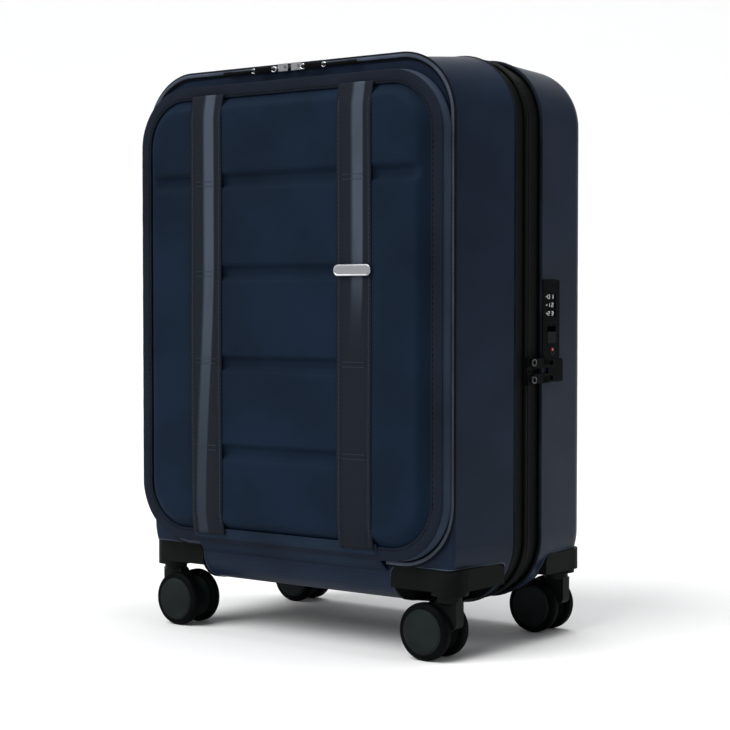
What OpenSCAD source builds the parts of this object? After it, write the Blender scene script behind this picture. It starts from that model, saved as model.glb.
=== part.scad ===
// Cabin suitcase with a hard clamshell body, a zipped padded front door,
// a two-stage trolley handle and four twin-wheel casters.
// X runs across the case (the lock is on +X), Y from the door (-Y) to the back, Z up from the floor.

/* [Case] */
// Width of the case at its seam
case_w = 379; // [376:1:382]
// Top of the shells at the seam, above the floor
case_top = 543; // [541:1:544]
// Underside of the shells at the seam, above the floor
case_bottom = 40.5; // [38:0.5:42]
// Radius of the four big corners, seen from the front
corner_r = 60; // [58:1:61]
// Wall thickness of both shells
shell_t = 2.5; // [2:0.1:3]
// Front plane of the front shell, as a Y position
front_y = -94.5; // [-96:0.5:-94]
// Back plane of the rear shell, as a Y position
back_y = 120.5; // [120:0.5:121]
// Middle of the main zip, as a Y position
seam_y = 12.5; // [11:0.5:13]
// Half the width of the cloth band between the two shells
band_half = 23.8; // [23:0.1:24]
// How much the front shell narrows from the seam to its front
front_draft = 8; // [7:0.5:8]
// How much the rear shell narrows from the seam to its back
rear_draft = 3; // [2:0.5:4]

/* [Door] */
// Half the width of the padded door
door_half_w = 180; // [178:0.5:180]
// Bottom edge of the door, above the floor
door_bottom = 88; // [88:0.5:90]
// Top edge of the door, above the floor
door_top = 522.5; // [520:0.5:524]
// Corner radius of the door
door_r = 56; // [54:1:58]
// Width of the bound edge round the door
binding_w = 12.2; // [11:0.2:13]
// Distance of each strap's middle from the middle of the door
strap_x = 89; // [80:1:95]
// Width of each strap
strap_w = 39; // [36:1:40]

/* [Casters] */
// Radius of the wheels
wheel_r = 26; // [25:0.5:26]
// Distance of each swivel axis from the middle of the case
swivel_x = 166.5; // [165:0.5:167]
// Swivel axes of the front casters, as a Y position
swivel_front_y = -78.6; // [-79:0.2:-78]
// Swivel axes of the rear casters, as a Y position
swivel_rear_y = 100.1; // [99:0.1:101]
// Distance from the swivel axis to the wheel axle
trail = 17; // [15:0.5:18]
// Width of a pair of wheels, from outer face to outer face
pair_w = 40; // [38:1:40]

/* [Trolley handle] */
// Distance of each telescopic tube from the middle of the case
tube_x = 66; // [60:1:70]
// Middle plane of the tubes, as a Y position
tube_y = 94; // [92:0.5:95]
// Length of each telescopic tube
tube_len = 452; // [430:1:456]

/* [Carry handles] */
// Height of the top handle's bar above the shell
top_handle_proud = 7; // [6:0.5:8]
// Height of the side handle's bar above the shell
side_handle_proud = 4; // [3:0.5:4]

/* [Hidden] */
$fn = 64;
gap = 0.3;                                   // clearance between neighbouring pieces
fit = 0.05;                                  // running clearance of a pin in its bore
eps = 1;                                     // overshoot of a cutter past the face it cuts

// Colours
navy = "#1d2b44";
cloth = "#20242f";
dark_plastic = "#33383a";
black = "#17181a";
silver = "#d0d3d6";
lining_grey = "#4a5160";

// The case outline: corner centres, and the outline's middle height
seam_front = seam_y - band_half;
seam_rear = seam_y + band_half;
case_cz = (case_top + case_bottom) / 2;
corner_x = case_w / 2 - corner_r;
corner_z = (case_top - case_bottom) / 2 - corner_r;
front_r = corner_r - front_draft;            // corner radius at the front plane
rear_r = corner_r - rear_draft;              // corner radius at the back plane
front_edge_r = 5;
base_edge_r = 27;                            // round edge between the front and the base
back_edge_r = 22;
tape_tuck = 4;                               // how far the zip's tape runs in under a shell
back_groove_zs = [177, 262, 347, 432];       // heights of the back's moulded grooves
back_groove_r = 9;
back_groove_d = 1.6;

// The door outline
door_cz = (door_top + door_bottom) / 2;
door_cx = door_half_w - door_r;
door_cor_z = (door_top - door_bottom) / 2 - door_r;
door_back_y = front_y - 2;
binding_y = -110.9;
panel_y = -117.8;
strap_y = -119.6;
panel_step = 9;                              // how far the raised middle of the panel sits in
hinge_half_w = 110;
zip_x = 181.5;
zip_top = 535.5;
zip_bottom = 84.5;
zip_r = 55;
coil_r = 1.6;
zip_y = front_y - coil_r - 0.1;
plate_w = 42;
plate_h = 10.4;
plate_z = 346.3;

// Caster housings
housing_in_x = 114;
housing_top = 82;
housing_floor = 62.5;                        // ceiling of the wheel well
housing_wall = 3;
housing_end_r = 8;                           // rounding of a housing's two inner top edges
front_housing_out = [184, -95.8];
front_housing_in_y = -17.4;
rear_housing_out = [186.5, 121];
rear_housing_in_y = 50;
housing_plan_r = 21;
well_r = 46;
well_cut_top = 50;                           // how high a wheel well is cut into a shell
boss_r = 17;
boss_bottom = 58.6;
kingpin_r = 5;
stem_r = 11;
fork_half = 5.7;
axle_r = 3;
tyre_in_r = 20.4;
hub_r = 20.3;
wheel_in = 7.6;                              // inner face of each wheel from the pair's middle
screw_r = 2;
screw_off = 24;

// Trolley
tube_base = 58;
grip_half = 84;
grip_half_d = 10;
grip_top = 543.6;
grip_h = 15;
button_half = [22, 6];
button_pocket = 6;
stem_pin_r = 2;                              // stem that joins the grip's button to the yoke
rod_r = 1.6;
yoke_slot = 7;
yoke_z = grip_top - grip_h + 4;
yoke_t = 2.4;
bezel_half = 92;
bezel_half_d = 14.5;
bezel_bottom = 516;
outer_tube = [24, 14];
middle_tube = [21.4, 11.4];
inner_tube = [18.8, 8.8];
tube_wall = 1;

// Carry handles, in a frame whose Z = 0 is the shell's skin
handle_half = 78;
handle_half_d = 11;
handle_bar_t = 9;
handle_bar_d = 7.4;                          // half the bar's depth, with finger room beside it
handle_well = 24;
handle_rim = 1.2;
handle_bezel_half = 90;
handle_bezel_half_d = 15;
handle_post = [9, 12];
top_handle_y = 59;
side_handle_y = 60;
side_handle_z = 300;

// Lock
lock_face = 191;
lock_back = 176;
lock_box = [[35.6, 265.6], [64.2, 338.5]];   // Y and Z corners
dock_box = [[43.9, 243.8], [69.5, 265.3]];
lock_r = 2.5;
dial_r = 7;
dial_h = 5.6;
dial_y = 50;
dial_x = 184.8;
dial_zs = [322.8, 315.1, 307.4];
shaft_r = 1.5;
button_box = [[43, 279.6], [57, 290.2]];
button_travel = 5;
key_pos = [51.6, 272.2];
key_r = 4;
slider_z = 254.5;                            // height at which the main zip's sliders meet
pull_off = 7;

// ---------- outlines and sweeps ----------

function turn(cx, cy, r, a0, a1, n = 10) =
  [for (i = [0:n]) let (a = a0 + (a1 - a0) * i / n) [cx + r * cos(a), cy + r * sin(a)]];

function flip(points) = [for (i = [len(points) - 1:-1:0]) points[i]];

// Outer line of a wall: from radius r0 at y0 to radius r1 at y1, rounded by f at y1
function wall_line(r0, r1, y0, y1, f) =
  let (s = sign(y1 - y0))
  concat([[r0, y0]], [for (p = turn(0, 0, f, 0, 90)) [r1 - f + p[0], y1 - s * f + s * p[1]]]);

// Section of a tray: wall and plate, the plate running in to radius r_in
function tray_section(r0, r1, y0, y1, f, t, r_in = 0) =
  let (s = sign(y1 - y0))
  concat(wall_line(r0, r1, y0, y1, f), [[r_in, y1], [r_in, y1 - s * t]],
         flip(wall_line(r0 - t, r1 - t, y0, y1 - s * t, max(f - t, 1))));

// Section of the solid that such a tray would fill
function fill_section(r0, r1, y0, y1, f) = concat(wall_line(r0, r1, y0, y1, f), [[0, y1], [0, y0]]);

// Sweeps a section round one corner, a side or the top of a rounded rectangle whose corner
// centres are cx and cz from its middle, at height zc. Section X is the distance out from a
// corner centre and section Y is the case's Y.
module sweep_corner(cx, cz, zc, sx, sz)
  translate([0, 0, zc]) mirror([sx < 0 ? 1 : 0, 0, 0]) mirror([0, 0, sz < 0 ? 1 : 0])
    translate([cx, 0, cz]) rotate([-90, 0, 0]) rotate([0, 0, -90]) rotate_extrude(angle = 90)
      children();

module sweep_side(cx, cz, zc, sx)
  translate([0, 0, zc]) mirror([sx < 0 ? 1 : 0, 0, 0])
    translate([cx, 0, -cz]) linear_extrude(2 * cz) children();

module sweep_run(cx, cz, zc, sz, half)
  translate([0, 0, zc]) mirror([0, 0, sz < 0 ? 1 : 0])
    translate([0, 0, cz]) rotate([0, -90, 0]) linear_extrude(2 * half, center = true) children();

module ring(cx, cz, zc) {
  for (sx = [-1, 1], sz = [-1, 1]) sweep_corner(cx, cz, zc, sx, sz) children();
  for (sx = [-1, 1]) sweep_side(cx, cz, zc, sx) children();
  for (sz = [-1, 1]) sweep_run(cx, cz, zc, sz, cx) children();
}

module case_ring() ring(corner_x, corner_z, case_cz) children();
module door_ring() ring(door_cx, door_cor_z, door_cz) children();

// Plate that closes a case ring between two Y planes
module case_core(y0, y1)
  translate([-corner_x, min(y0, y1), case_cz - corner_z])
    cube([2 * corner_x, abs(y1 - y0), 2 * corner_z]);

// Rounded rectangle with half sizes hx and hy
module quarter(r) intersection() { circle(r); square(r); }

module rounded(hx, hy, r) {
  for (sx = [0, 1], sy = [0, 1]) mirror([sx, 0, 0]) mirror([0, sy, 0]) {
    translate([hx - r, hy - r]) quarter(r);
    square([hx - r, hy]);
    translate([hx - r, 0]) square([r, hy - r]);
  }
}

// Upright slab: a rounded rectangle in X and Z between two Y planes
module slab(hx, z0, z1, r, y0, y1)
  translate([0, max(y0, y1), (z0 + z1) / 2]) rotate([90, 0, 0])
    linear_extrude(abs(y1 - y0)) rounded(hx, (z1 - z0) / 2, r);

module box(a, b) translate(a) cube(b - a);

// ---------- rear shell and what is fixed to it ----------

module rear_form(inset)
  union() {
    case_ring() polygon(fill_section(corner_r - inset, rear_r - inset, seam_rear - eps,
                                     back_y - inset, back_edge_r - inset));
    case_core(seam_rear - eps, back_y - inset);
  }

module front_fill(inset, edge)
  polygon(fill_section(corner_r - inset, front_r - inset, seam_front + eps,
                       front_y + inset, edge - inset));

module front_form(inset)
  union() {
    for (sx = [-1, 1]) {
      for (sz = [-1, 1])
        sweep_corner(corner_x, corner_z, case_cz, sx, sz) front_fill(inset, front_edge_r);
      sweep_side(corner_x, corner_z, case_cz, sx) front_fill(inset, front_edge_r);
    }
    sweep_run(corner_x, corner_z, case_cz, -1, corner_x) front_fill(inset, base_edge_r);
    case_core(seam_front + eps, front_y + inset);
  }

// Corner block that a caster housing fills: from its inner faces outwards, up to height z, with
// both inner top edges rounded
module corner_block(side, out, in_y, grow, z)
  mirror([side < 0 ? 1 : 0, 0, 0]) mirror([0, out[1] < 0 ? 1 : 0, 0]) intersection() {
    translate([0, 230, 0]) rotate([90, 0, 0]) linear_extrude(230)
      end_profile(housing_in_x - grow, z + grow, housing_end_r + grow);
    rotate([90, 0, 90]) linear_extrude(230)
      end_profile(abs(in_y) - grow, z + grow, housing_end_r + grow);
  }

module end_profile(start, top, r) {
  translate([start, 0]) square([230 - start, top - r]);
  translate([start + r, 0]) square([230 - start - r, top]);
  translate([start + r, top - r]) circle(r);
}

module well(side, y, z)
  translate([side * swivel_x, y, 0]) cylinder(r = well_r, h = z);

module rear_shell() color(navy) difference() {
  union() {
    case_ring() polygon(tray_section(corner_r, rear_r, seam_rear, back_y, back_edge_r, shell_t));
    case_core(back_y - shell_t, back_y);
  }
  for (side = [-1, 1]) {
    corner_block(side, rear_housing_out, rear_housing_in_y, gap, housing_top);
    well(side, swivel_rear_y, well_cut_top);
  }
  // shallow stiffening grooves across the back
  for (z = back_groove_zs)
    translate([0, back_y + back_groove_r - back_groove_d, z]) rotate([0, 90, 0])
      cylinder(r = back_groove_r, h = 2 * 140, center = true);
  top_bezel_cut();
  top_handle_place() handle_cut();
  side_handle_place() handle_cut();
  lock_cut();
}

module rear_piping() color(cloth) difference() {
  case_ring() translate([corner_r - 0.7, seam_rear - 1.7]) circle(1.6);
  lock_cut();
}

module front_piping() color(cloth)
  case_ring() translate([corner_r - 0.7, seam_front + 1.7]) circle(1.6);

// Half of the main zip: the tape, from under one shell to the seam, and its coil
module zip_half(shell_y, s) {
  case_ring() polygon([[corner_r - 5.1, shell_y + s * tape_tuck], [corner_r - 3.9, shell_y + s * tape_tuck],
                       [corner_r - 3.9, seam_y + s * 0.3], [corner_r - 5.1, seam_y + s * 0.3]]);
  case_ring() translate([corner_r - 2, seam_y + s * 1.95]) circle(1.75);
}

module rear_zip() color(cloth) difference() {
  zip_half(seam_rear, 1);
  lock_cut();
}

module front_zip() color(cloth) zip_half(seam_front, -1);

// Cloth lining: a thin tray that steps round the housings, tubes, handles and lock
module rear_lining() color(lining_grey) difference() {
  lining_body(6.6, 0);
  lining_body(7.8, 1.2);
}

module lining_body(inset, grow)
  difference() {
    union() {
      case_ring() polygon(fill_section(corner_r - inset, rear_r - inset,
                                       seam_rear + 14 - grow, back_y - inset, back_edge_r - inset));
      case_core(seam_rear + 14 - grow, back_y - inset);
    }
    for (side = [-1, 1]) {
      corner_block(side, rear_housing_out, rear_housing_in_y, 2 + grow, housing_top + 1);
      mirror([side < 0 ? 1 : 0, 0, 0])
        box([tube_x - 15 - grow, tube_y - 10 - grow, 0], [tube_x + 15 + grow, 200, 600]);
    }
    box([-tube_x, tube_y - 10 - grow, -1], [tube_x, 200, 70 + grow]);
    box([-bezel_half - 4 - grow, tube_y - bezel_half_d - 4 - grow, bezel_bottom - 6 - grow],
        [bezel_half + 4 + grow, 200, 600]);
    box([-handle_bezel_half - 4 - grow, 0, bezel_bottom - 6 - grow],
        [handle_bezel_half + 4 + grow, 200, 600]);
    box([-200, side_handle_y - 19 - grow, side_handle_z - handle_bezel_half - 4 - grow],
        [-154 + grow, side_handle_y + 19 + grow, side_handle_z + handle_bezel_half + 4 + grow]);
    box([lock_back - 3 - grow, 0, dock_box[0][1] - 4 - grow],
        [200, dock_box[1][0] + 4 + grow, lock_box[1][1] + 4 + grow]);
  }

// Inner cloth strip that joins the halves along the left side
module hinge_cloth() color(cloth)
  box([-case_w / 2 + 5.5, seam_front + 8, 112], [-case_w / 2 + 6.3, seam_rear + 10, 480]);

// Housing of one caster: skirt, bearing boss and the two legs beside the wheel well
module housing_plan(out, in_y, inset) {
  s = sign(out[1]);
  hx = (out[0] - housing_in_x) / 2;
  hy = abs(out[1] - in_y) / 2;
  translate([(out[0] + housing_in_x) / 2, (out[1] + in_y) / 2]) mirror([0, s < 0 ? 1 : 0, 0])
    union() {
      translate([-hx + inset, -hy + inset]) square([2 * hx - 2 * inset, 2 * hy - housing_plan_r - inset]);
      translate([-hx + inset, -hy + inset]) square([2 * hx - housing_plan_r - inset, 2 * hy - 2 * inset]);
      translate([hx - housing_plan_r, hy - housing_plan_r]) quarter(housing_plan_r - inset);
    }
}

module housing(side, out, in_y, sy) color(dark_plastic)
  mirror([side < 0 ? 1 : 0, 0, 0]) difference() {
    union() {
      difference() {
        intersection() {
          translate([0, 0, housing_floor]) linear_extrude(housing_top - housing_floor)
            housing_plan(out, in_y, 0);
          corner_block(1, out, in_y, 0, housing_top);
        }
        translate([0, 0, housing_floor + housing_wall]) linear_extrude(30)
          housing_plan(out, in_y, housing_wall);
      }
      translate([swivel_x, sy, boss_bottom]) cylinder(r = boss_r, h = housing_top - boss_bottom - 1);
      difference() {
        intersection() {
          if (sy < 0) front_form(-0.8); else rear_form(-0.6);
          translate([0, 0, 30]) linear_extrude(housing_floor + 0.5 - 30) housing_plan(out, in_y, 0);
        }
        well(1, sy, housing_floor);
        translate([0, 0, 48]) linear_extrude(30) housing_plan(out, in_y, housing_wall);
      }
    }
    translate([swivel_x, sy, 40]) cylinder(r = kingpin_r + fit, h = 38);
    screw_places(sy) cylinder(r = screw_r + fit, h = 40);
  }

// The four screws of a housing stand round its bearing boss
module screw_places(sy)
  for (dx = [-1, 1], dy = [-1, 1])
    translate([swivel_x - 18 + dx * 8 - 8, sy + sign(-sy) * 18 + dy * 8, housing_floor - eps]) children();

module caster_screws(sy) color(silver)
  for (side = [0, 1]) mirror([side, 0, 0])
    screw_places(sy) translate([0, 0, eps + 0.2]) {
      cylinder(r = screw_r, h = 12);
      translate([0, 0, housing_wall + 0.1]) cylinder(r = 3.6, h = 2.6);
    }

module rear_screws() caster_screws(swivel_rear_y);
module front_screws() caster_screws(swivel_front_y);
module rear_left_housing() housing(-1, rear_housing_out, rear_housing_in_y, swivel_rear_y);
module rear_right_housing() housing(1, rear_housing_out, rear_housing_in_y, swivel_rear_y);
module front_left_housing() housing(-1, front_housing_out, front_housing_in_y, swivel_front_y);
module front_right_housing() housing(1, front_housing_out, front_housing_in_y, swivel_front_y);

// ---------- front shell and what is fixed to it ----------

module front_shell() color(navy) difference() {
  union() {
    for (sx = [-1, 1]) {
      for (sz = [-1, 1]) sweep_corner(corner_x, corner_z, case_cz, sx, sz) front_wall(front_edge_r);
      sweep_side(corner_x, corner_z, case_cz, sx) front_wall(front_edge_r);
    }
    sweep_run(corner_x, corner_z, case_cz, 1, corner_x) front_wall(front_edge_r);
    sweep_run(corner_x, corner_z, case_cz, -1, corner_x) front_wall(base_edge_r);
    case_core(front_y, front_y + shell_t);
  }
  slab(door_half_w - 16, door_bottom + 16, door_top - 14, door_r - 14, front_y - eps, front_y + 9);
  for (side = [-1, 1]) {
    corner_block(side, front_housing_out, front_housing_in_y, gap, housing_top);
    well(side, swivel_front_y, well_cut_top);
  }
}

module front_wall(edge)
  polygon(tray_section(corner_r, front_r, seam_front, front_y, edge, shell_t));

module front_lining() color(lining_grey) difference() {
  front_lining_body(6.6, 0);
  front_lining_body(7.8, 1.2);
  slab(door_half_w - 14, door_bottom + 14, door_top - 12, door_r - 12, front_y, front_y + 20);
}

module front_lining_body(inset, grow)
  difference() {
    union() {
      case_ring() polygon(fill_section(corner_r - inset, front_r - inset,
                                       seam_front - 14 + grow, front_y + inset, 8));
      case_core(seam_front - 14 + grow, front_y + inset);
    }
    box([-200, -200, 0], [200, front_y + inset + 20 + grow, case_bottom + base_edge_r + 12 + grow]);
    for (side = [-1, 1])
      corner_block(side, front_housing_out, front_housing_in_y, 2 + grow, housing_top + 1);
  }

// Coil of the door's zip, from one end of the hinge strip round the door to the other
module door_zip() color(cloth) difference() {
  ring(zip_x - zip_r, (zip_top - zip_bottom) / 2 - zip_r, (zip_top + zip_bottom) / 2)
    translate([zip_r, zip_y]) circle(coil_r);
  box([-hinge_half_w, -200, 0], [hinge_half_w, 0, 200]);
}

module door_hinge_strip() color(navy)
  box([-hinge_half_w, front_y - 1.5, 76.8], [hinge_half_w, front_y - 0.1, door_bottom - gap]);

// ---------- door ----------

module door_slab(inset, y0, y1)
  slab(door_half_w - inset, door_bottom + inset, door_top - inset, door_r - inset, y0, y1);

module door_board() color(lining_grey) door_slab(2.8, door_back_y, door_back_y - 1.4);

module door_panel() color(navy) union() {
  door_slab(binding_w + gap, door_back_y - 1.5, binding_y);
  door_slab(binding_w + panel_step, binding_y, panel_y);
}

module door_binding() color(cloth)
  door_ring() translate([door_r - binding_w, binding_y]) square([binding_w, 2.4]);

module door_gusset() color(cloth)
  door_ring() translate([door_r - 2.5, binding_y + 2.5])
    square([2, door_back_y - 1.5 - binding_y - 2.5]);

module strap(side) color(cloth)
  box([side * strap_x - strap_w / 2, strap_y, door_bottom + 22],
      [side * strap_x + strap_w / 2, panel_y - 0.1, door_top - 22]);

module left_strap() strap(-1);
module right_strap() strap(1);

module badge_plate() color(silver)
  translate([strap_x, strap_y - 0.1, plate_z]) rotate([90, 0, 0])
    linear_extrude(1.5) rounded(plate_w / 2, plate_h / 2, plate_h / 2 - 0.1);

// Slider of the door's zip, astride the coil, with its pull lying along the top edge
module door_slider(side) color(silver) {
  x0 = side < 0 ? -14 : 2;
  box([x0, zip_y - coil_r - 2.4, zip_top - 4], [x0 + 12, zip_y - coil_r - gap, zip_top + 3]);
  box([x0 + 3, zip_y - coil_r - 4.4, zip_top - 2], [x0 + 9, zip_y - coil_r - 2.4, zip_top + 1]);
}

module door_pull(side) color(black) mirror([side < 0 ? 1 : 0, 0, 0]) {
  y0 = zip_y - coil_r - 5;
  box([14.3, y0 - 0.6, zip_top - 3.5], [19.5, y0 + 2.2, zip_top]);
  box([19.5, y0 - 1, zip_top - 4.5], [40, y0 + 2.6, zip_top + 1]);
  box([40, y0 - 0.4, zip_top - 3.2], [80, y0 + 2, zip_top - 0.6]);
}

module left_door_slider() door_slider(-1);
module right_door_slider() door_slider(1);
module left_door_pull() door_pull(-1);
module right_door_pull() door_pull(1);

// ---------- trolley handle ----------

module tube_bar(size, z0, z1)
  translate([0, tube_y, z0]) linear_extrude(z1 - z0) rounded(size[0] / 2, size[1] / 2, 4);

module tube_pair(size, z0, z1)
  for (side = [-1, 1]) translate([side * tube_x, 0, 0]) difference() {
    tube_bar(size, z0, z1);
    translate([0, tube_y, z0 - eps]) linear_extrude(z1 - z0 + 2 * eps)
      rounded(size[0] / 2 - tube_wall, size[1] / 2 - tube_wall, 3);
  }

module outer_tubes() color(silver) {
  tube_pair(outer_tube, tube_base, bezel_bottom - gap);
  for (side = [-1, 1]) translate([side * tube_x, tube_y, case_bottom + rear_draft + 5])
    linear_extrude(tube_base - case_bottom - rear_draft - 5.2) rounded(15, 9, 4);
}

module middle_tubes() color(silver) tube_pair(middle_tube, tube_base + 3, tube_base + 3 + tube_len);
module inner_tubes() color(silver)
  tube_pair(inner_tube, tube_base + 5, grip_top - grip_h);

module trolley_grip() color(black) difference() {
  translate([0, tube_y, grip_top - grip_h]) linear_extrude(grip_h) rounded(grip_half, grip_half_d, 7);
  translate([0, tube_y, grip_top - button_pocket]) linear_extrude(button_pocket + eps)
    rounded(button_half[0] + gap, button_half[1] + gap, 4);
  translate([0, tube_y, grip_top - grip_h - eps]) cylinder(r = stem_pin_r + fit, h = grip_h);
  // slot for the yoke that joins the two release rods
  box([-tube_x - 3, tube_y - 2.5, grip_top - grip_h - eps],
      [tube_x + 3, tube_y + 2.5, grip_top - grip_h + yoke_slot]);
}

module grip_button() color(dark_plastic) {
  translate([0, tube_y, grip_top - 2.8]) linear_extrude(2.6)
    rounded(button_half[0], button_half[1], 3.8);
  translate([0, tube_y, yoke_z + yoke_t]) cylinder(r = stem_pin_r, h = grip_top - 2 - yoke_z - yoke_t);
}

// Yoke and rods that carry the button's press down the inner tubes to their locks
module release_rods() color(silver) {
  for (side = [-1, 1]) translate([side * tube_x, tube_y, tube_base + 12])
    cylinder(r = rod_r, h = yoke_z + yoke_t - tube_base - 12);
  box([-tube_x - rod_r, tube_y - rod_r, yoke_z], [tube_x + rod_r, tube_y + rod_r, yoke_z + yoke_t]);
}

module top_bezel_cut()
  translate([0, tube_y, bezel_bottom - eps]) linear_extrude(60)
    rounded(bezel_half - 2, bezel_half_d - 2, 7);

module trolley_bezel() color(dark_plastic) difference() {
  union() {
    intersection() {
      translate([0, tube_y, 520]) linear_extrude(40) rounded(bezel_half, bezel_half_d, 9);
      difference() { rear_form(-1.2); rear_form(-0.02); }
    }
    translate([0, tube_y, bezel_bottom]) linear_extrude(case_top - 6 - bezel_bottom)
      rounded(bezel_half - 2.3, bezel_half_d - 2.3, 6.7);
    intersection() {
      translate([0, tube_y, bezel_bottom]) linear_extrude(60)
        rounded(bezel_half - 2.3, bezel_half_d - 2.3, 6.7);
      rear_form(-0.6);
    }
  }
  translate([0, tube_y, grip_top - grip_h - 0.8]) linear_extrude(60)
    rounded(grip_half + 0.8, grip_half_d + 0.8, 7.8);
  for (side = [-1, 1]) translate([side * tube_x, 0, 0])
    tube_bar(middle_tube + [0.6, 0.6], bezel_bottom - eps, 560);
}

// ---------- carry handles ----------

module top_handle_place() translate([0, top_handle_y, case_top - 0.8]) children();
module side_handle_place()
  translate([-case_w / 2 + 0.8, side_handle_y, side_handle_z]) rotate([0, -90, 0]) children();

module handle_cut()
  translate([0, 0, -40]) linear_extrude(60) rounded(handle_bezel_half - 2, handle_bezel_half_d - 2, 8);

module handle_bezel() color(dark_plastic) difference() {
  union() {
    translate([0, 0, -handle_well - 2]) linear_extrude(handle_well + 2)
      rounded(handle_bezel_half - 2.3, handle_bezel_half_d - 2.3, 7.7);
    translate([0, 0, 0.3 + 0.8]) linear_extrude(handle_rim)
      rounded(handle_bezel_half, handle_bezel_half_d, 10);
    linear_extrude(1.2) rounded(handle_bezel_half - 2.3, handle_bezel_half_d - 2.3, 7.7);
  }
  // finger well, then a guide for each end of the bar
  translate([0, 0, -handle_well]) linear_extrude(60) rounded(handle_half - 11, handle_half_d + 0.6, 6);
  translate([0, 0, -handle_bar_t - 1]) linear_extrude(60) rounded(handle_half + 0.5, handle_half_d + 0.6, 6);
  for (side = [-1, 1]) translate([side * (handle_half - 5.5), 0, -handle_well])
    linear_extrude(60) rounded(handle_post[0] / 2 + 0.4, handle_post[1] / 2 + 0.4, 2);
}

module handle_bar(proud) color(black) {
  translate([0, 0, proud + 0.8 - handle_bar_t]) linear_extrude(handle_bar_t)
    rounded(handle_half, handle_bar_d, 6);
  for (side = [-1, 1]) translate([side * (handle_half - 5.5), 0, -handle_well + 1])
    linear_extrude(handle_well) rounded(handle_post[0] / 2, handle_post[1] / 2, 2);
}

module top_handle_bezel() top_handle_place() handle_bezel();
module top_handle() top_handle_place() handle_bar(top_handle_proud);
module side_handle_bezel() side_handle_place() handle_bezel();
module side_handle() side_handle_place() handle_bar(side_handle_proud);

// ---------- lock, on the right of the rear shell ----------

module lock_slab(corners, r, x0, x1, grow = 0)
  translate([x0, (corners[0][0] + corners[1][0]) / 2, (corners[0][1] + corners[1][1]) / 2])
    rotate([0, 90, 0]) rotate([0, 0, 90])
      linear_extrude(x1 - x0)
        rounded((corners[1][0] - corners[0][0]) / 2 + grow, (corners[1][1] - corners[0][1]) / 2 + grow, r);

module lock_cut() {
  lock_slab(lock_box, lock_r, lock_back - 2, lock_face + 5, gap);
  lock_slab(dock_box, lock_r, lock_back - 2, lock_face + 5, gap);
}

module lock_body() color(black) {
  difference() {
    lock_slab(lock_box, lock_r, lock_back, lock_face);
    for (z = dial_zs)
      box([lock_back + 1.5, dial_y - dial_r - 0.6, z - dial_h / 2 - 0.4],
          [200, dial_y + dial_r + 0.6, z + dial_h / 2 + 0.4]);
    box([lock_face - 6, button_box[0][0] - gap, button_box[0][1] - gap],
        [200, button_box[1][0] + gap, button_box[1][1] + button_travel + gap]);
    translate([lock_face - 8, key_pos[0], key_pos[1]]) rotate([0, 90, 0])
      cylinder(r = key_r + fit, h = 20);
  }
  translate([dial_x, dial_y, dial_zs[2] - 6]) cylinder(r = shaft_r, h = dial_zs[0] - dial_zs[2] + 12);
}

module dial(i) color(black)
  translate([dial_x, dial_y, dial_zs[i] - dial_h / 2]) difference() {
    cylinder(r = dial_r, h = dial_h);
    translate([0, 0, -eps]) cylinder(r = shaft_r + fit, h = dial_h + 2 * eps);
  }

module dial_1() dial(0);
module dial_2() dial(1);
module dial_3() dial(2);

module lock_button() color(dark_plastic) {
  box([lock_face - 5.7, button_box[0][0], button_box[0][1]],
      [lock_face + 0.4, button_box[1][0], button_box[1][1]]);
  box([lock_face + 0.4, button_box[0][0] + 2, button_box[0][1] + 3],
      [lock_face + 1, button_box[1][0] - 2, button_box[0][1] + 4.2]);
}

module key_core() color(silver) difference() {
  translate([lock_face - 7.6, key_pos[0], key_pos[1]]) rotate([0, 90, 0]) cylinder(r = key_r, h = 7.8);
  box([lock_face - 3, key_pos[0] - 0.6, key_pos[1] - 2.4],
      [lock_face + eps, key_pos[0] + 0.6, key_pos[1] + 2.4]);
}

module lock_dock() color(black) difference() {
  lock_slab(dock_box, lock_r, lock_back, lock_face + 0.6);
  for (z = [slider_z - pull_off, slider_z + pull_off])
    box([lock_face - 2, dock_box[0][0] - eps, z - 2], [lock_face + eps, dock_box[0][0] + 8, z + 2]);
}

// Slider of the main zip with its pull, whose tip reaches the dock
module main_slider(dir) color(black) {
  zs = dir > 0 ? [slider_z + 1, slider_z + 13] : [slider_z - 13, slider_z - 1];
  zm = slider_z + dir * pull_off;
  x0 = corner_x + corner_r;
  box([x0, seam_y - 4.5, zs[0]], [x0 + 2.2, seam_y + 4.5, zs[1]]);
  box([x0 + 2.2, seam_y - 1.5, zm - 3], [x0 + 4, seam_y + 4, zm + 3]);
  box([x0 + 2.2, seam_y + 4, zm - 4.5], [x0 + 4, dock_box[0][0] - 0.5, zm + 4.5]);
}

module upper_slider() main_slider(1);
module lower_slider() main_slider(-1);

// ---------- casters ----------

// Places a caster: its swivel axis at the side and Y given, trailing along dir * X
module caster_place(side, sy, dir)
  translate([side * swivel_x, sy, 0]) mirror([dir < 0 ? 1 : 0, 0, 0]) children();

module fork() color(dark_plastic) difference() {
  union() {
    translate([0, 0, 2 * wheel_r + 0.4])
      cylinder(r = stem_r, h = boss_bottom - gap - 2 * wheel_r - 0.4);
    translate([0, 0, 50]) cylinder(r = kingpin_r, h = 27);
    translate([0, fork_half, 0]) rotate([90, 0, 0]) linear_extrude(2 * fork_half) {
      translate([trail, wheel_r]) circle(10);
      polygon(concat([[-stem_r, 54], [-stem_r, 34]], turn(-stem_r + 6, 34, 6, 180, 270, 5),
                     [[trail - 3, wheel_r - 9.5], [trail + 9.7, wheel_r + 2.2], [stem_r, 54]]));
    }
  }
  translate([trail, 0, wheel_r]) rotate([90, 0, 0]) cylinder(r = axle_r + fit, h = 40, center = true);
}

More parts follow.
